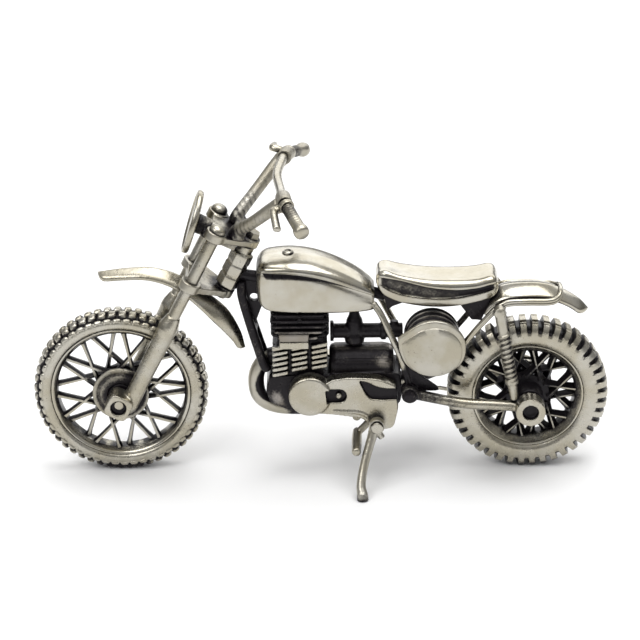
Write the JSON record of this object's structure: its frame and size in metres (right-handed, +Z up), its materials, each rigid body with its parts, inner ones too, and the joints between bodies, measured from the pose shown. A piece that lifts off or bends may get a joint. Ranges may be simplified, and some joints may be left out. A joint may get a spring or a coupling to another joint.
{
  "type": "miniature motocross motorcycle",
  "caption": "Cast polished and blackened metal miniature of a seventies motocross motorcycle: knobby wire-spoked wheels that turn, a fork that steers and a side stand that folds.",
  "frame": {"origin": "on the ground, midway along the machine, in its middle plane", "axes": "+Z up, -X towards the nose, -Y towards the rider's left side"},
  "size_m": [0.1164, 0.0454, 0.0651],
  "materials": {
    "polished_metal": "polished",
    "satin_metal": "satin",
    "textured_metal": "rough cast",
    "blackened_metal": "blackened satin"
  },
  "bodies": {
    "chassis": {"rear_loop_tube": "polished_metal", "fuel_tank": "polished_metal", "seat": "polished_metal", "rear_fender": "polished_metal", "side_panel_left": "polished_metal", "engine_cover_left": "polished_metal", "engine_cover_right": "polished_metal", "head_tube": "satin_metal", "swingarm_pivot": "satin_metal", "filler_cap": "satin_metal", "cylinder_barrel": "satin_metal", "exhaust_pipe": "satin_metal", "stand_pin": "satin_metal", "frame_strut_left": "satin_metal", "frame_strut_right": "satin_metal", "swingarm_left": "satin_metal", "swingarm_right": "satin_metal", "footpeg_left": "satin_metal", "footpeg_right": "satin_metal", "shock_left": "textured_metal", "shock_right": "textured_metal", "backbone_tube": "blackened_metal", "downtubes": "blackened_metal", "rear_axle": "blackened_metal", "seat_base": "blackened_metal", "air_box": "blackened_metal", "crankcase": "blackened_metal", "cylinder_head": "blackened_metal", "carburettor": "blackened_metal", "drive_chain": "blackened_metal"},
    "steering": {"steering_stem": "blackened_metal", "lower_clamp": "satin_metal", "upper_clamp": "satin_metal", "front_axle": "polished_metal", "bar_risers": "textured_metal", "number_plate": "polished_metal", "plate_bracket": "blackened_metal", "front_fender": "satin_metal", "handlebar": "polished_metal", "clutch_lever": "polished_metal", "brake_lever": "polished_metal", "fork_tube_left": "polished_metal", "fork_tube_right": "polished_metal", "fork_slider_left": "polished_metal", "fork_slider_right": "polished_metal", "grip_left": "satin_metal", "grip_right": "satin_metal"},
    "front_wheel": {"front_tyre": "satin_metal", "front_rim": "polished_metal", "front_spokes": "textured_metal", "front_hub": "blackened_metal", "front_brake_drum": "textured_metal"},
    "rear_wheel": {"rear_tyre": "satin_metal", "rear_rim": "polished_metal", "rear_spokes": "textured_metal", "rear_hub": "blackened_metal", "rear_sprocket": "textured_metal"},
    "side_stand": {"side_stand": "satin_metal"}
  },
  "joints": [
    {"name": "steer", "type": "hinge", "parent": "chassis", "child": "steering", "pos_m": [-0.017, 0, 0.0438], "axis": [0.4493, 0, 0.8934], "range_deg": [-35, 35]},
    {"name": "front_wheel_spin", "type": "hinge", "parent": "steering", "child": "front_wheel", "pos_m": [-0.0405, 0, 0.0177], "axis": [0, 1, 0], "continuous": true},
    {"name": "rear_wheel_spin", "type": "hinge", "parent": "chassis", "child": "rear_wheel", "pos_m": [0.0419, 0, 0.0163], "axis": [0, 1, 0], "continuous": true},
    {"name": "side_stand_fold", "type": "hinge", "parent": "chassis", "child": "side_stand", "pos_m": [0.0112, -0.0083, 0.0132], "axis": [0, -1, 0], "range_deg": [0, 80]}
  ]
}
